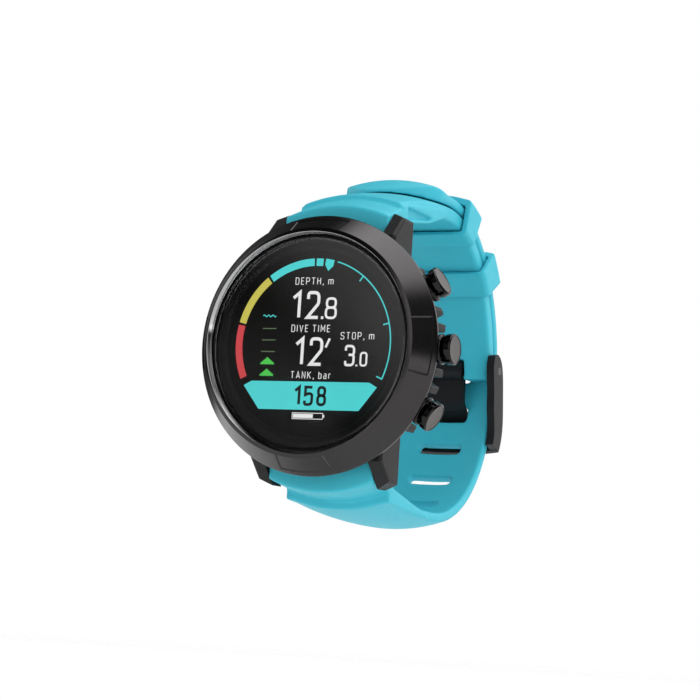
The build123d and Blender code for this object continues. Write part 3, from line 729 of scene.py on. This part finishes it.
# ---- straps ------------------------------------------------------------------------------------
TOP_ARC_CENTRE = (40.8, -57.2)
TOP_ARC_R = 92.8
TAIL_TIP, TAIL_THIN_END, TAIL_SWELL_END = 28.2, 33.0, 41.5
STRAP_HALF, STRAP_CROWN = 11.6, 2.0
FREE_END_HEIGHT = 30        # only the lower strap's free end comes above this
TAIL_THINNING, TAIL_SWELLING = 0.7, 0.45
VOXEL, QUICK_VOXEL = 0.33 * MM, 0.45 * MM
KEEPER_VOXEL_SHARE = 0.65


def soft_copy(node, name, voxel, rounds, material, body):
    """The node's shape remeshed finely, with its edges melted as moulded rubber is."""
    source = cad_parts[node]
    work = bpy.data.objects.new(name, source.data.copy())
    bpy.context.scene.collection.objects.link(work)
    remesh = work.modifiers.new("remesh", "REMESH")
    remesh.mode = "VOXEL"
    remesh.voxel_size = voxel
    relax = work.modifiers.new("relax", "SMOOTH")
    relax.factor = 0.5
    relax.iterations = rounds
    graph = bpy.context.evaluated_depsgraph_get()
    mesh = bpy.data.meshes.new_from_object(work.evaluated_get(graph))
    work.modifiers.clear()
    work.data = mesh
    mesh.materials.clear()
    mesh.materials.append(material)
    mesh.shade_smooth()
    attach(work, body)
    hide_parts(node)
    return work


def shape_tail(piece):
    """The free end bulges a little in front of its keeper and thins to a rounded tip."""
    for vertex in piece.data.vertices:
        x, depth, z = vertex.co.x / MM, vertex.co.y / MM + CASE_DEPTH, vertex.co.z / MM
        if z < FREE_END_HEIGHT or depth > TAIL_SWELL_END:
            continue
        arm = Vector((depth - TOP_ARC_CENTRE[0], z - TOP_ARC_CENTRE[1]))
        foot = TOP_ARC_R + STRAP_CROWN * (1 - (x / STRAP_HALF) ** 2)
        thin = min(1.0, max(0.0, (TAIL_THIN_END - depth) / (TAIL_THIN_END - TAIL_TIP))) ** 1.5
        along = min(1.0, (TAIL_SWELL_END - depth) / (TAIL_SWELL_END - TAIL_TIP))
        swell = math.sin(math.pi * along) ** 2
        thickness = (arm.length - foot) * (1 - TAIL_THINNING * thin + TAIL_SWELLING * swell)
        arm *= (foot + thickness) / arm.length
        vertex.co.y = (arm.x + TOP_ARC_CENTRE[0] - CASE_DEPTH) * MM
        vertex.co.z = (arm.y + TOP_ARC_CENTRE[1]) * MM


def straps(rubber):
    voxel = VOXEL
    soft_copy("upper_strap", "upper_strap_moulding", voxel, 7, rubber, WATCH)
    lower = soft_copy("lower_strap", "lower_strap_moulding", voxel, 5, rubber, WATCH)
    shape_tail(lower)
    for name in ("tail_keeper", "buckle_keeper"):
        soft_copy(name, f"{name}_loop", voxel * KEEPER_VOXEL_SHARE, 4, rubber, name)


# ---- springs -----------------------------------------------------------------------------------
BAR_DEPTH, BAR_HEIGHT = 12.0, 26.4


def spring(node, steel):
    """A copy of a spring in steel, riding on the watch in place of the node."""
    piece = bpy.data.objects.new(f"{node}_coil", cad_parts[node].data.copy())
    bpy.context.scene.collection.objects.link(piece)
    piece.data.materials.clear()
    piece.data.materials.append(steel)
    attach(piece, WATCH)
    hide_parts(node)
    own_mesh(piece)


def springs(steel):
    for side, height in (("upper", BAR_HEIGHT), ("lower", -BAR_HEIGHT)):
        spring(f"{side}_bar_spring", steel)
    for name, angle in BUTTON_TURNS.items():
        spring(f"{name}_button_spring", steel)


# ---- buttons -----------------------------------------------------------------------------------
BUTTON_TURNS = {"top": 29.0, "middle": 0.0, "bottom": -29.0}
BUTTON_AXIS_DEPTH = 8.0
BUTTON_STEPS = 64
# Along a button's axis, from the dial's axis; radii are from the button's own.
STEM_FOOT, STEM_R = 19.0, 1.44
HEAD_FROM, HEAD_TO, HEAD_R = 25.6, 29.2, 3.2
WAIST_R = 2.85
WELL_TO, WELL_R = 27.72, 2.55   # hollow behind the head, where the spring sits
FACE_AT = 29.1


def button(name, angle, steel, polish):
    """A polished waisted head on its stem, with a flat matte end."""
    head = [(STEM_FOOT, ON_AXIS, 0), (STEM_FOOT, STEM_R, 0), (WELL_TO, STEM_R, 0), (WELL_TO, WELL_R, 0),
            (HEAD_FROM, WELL_R, 0), (HEAD_FROM, 3.0, 0.15), (26.3, HEAD_R, 0.3), (26.75, WAIST_R, 0.2),
            (27.3, WAIST_R, 0.2), (27.7, HEAD_R, 0.25), (28.9, HEAD_R, 0.15), (HEAD_TO, 2.85, 0.1),
            (FACE_AT, 2.65, 0.05), (FACE_AT, ON_AXIS, 0)]
    profile = rounded(head, steps=4)
    a = math.radians(angle)
    outward = Vector((math.cos(a), 0, math.sin(a)))
    side = Vector((-math.sin(a), 0, math.cos(a)))
    steps = BUTTON_STEPS
    points = []
    for k in range(steps):
        turn = math.tau * k / steps
        for reach, radius in profile:
            place = outward * reach + side * radius * math.cos(turn)
            points.append(at(place.x, BUTTON_AXIS_DEPTH + radius * math.sin(turn), place.z))
    count = len(profile)
    faces = []
    for k in range(steps):
        here, there = k * count, ((k + 1) % steps) * count
        faces += [(here + i, there + i, there + i + 1, here + i + 1) for i in range(count - 1)]
    node = f"{name}_button"
    second = (steel, lambda number: number % (count - 1) >= count - 3)
    piece = new_piece(f"{node}_head", points, faces, polish, node, True, second)
    sharp_edges(piece, 40)
    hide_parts(node)


def studio():
    bpy.context.scene.view_settings.view_transform = "Standard"
    add_camera()
    studio_sky()
    studio_floor()


def main():
    studio()
    finishes = materials()
    dress_cad_nodes(finishes)
    bezel(finishes["black_steel"], finishes["polished_steel"])
    lens(finishes["sapphire"], dark_screen())
    display()
    straps(finishes["strap_silicone"])
    springs(finishes["spring_steel"])
    for name, angle in BUTTON_TURNS.items():
        button(name, angle, finishes["button_steel"], finishes["button_polish"])
        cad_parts[f"{name}_button_sleeve"].material_slots[0].material = finishes["black_steel"]


main()
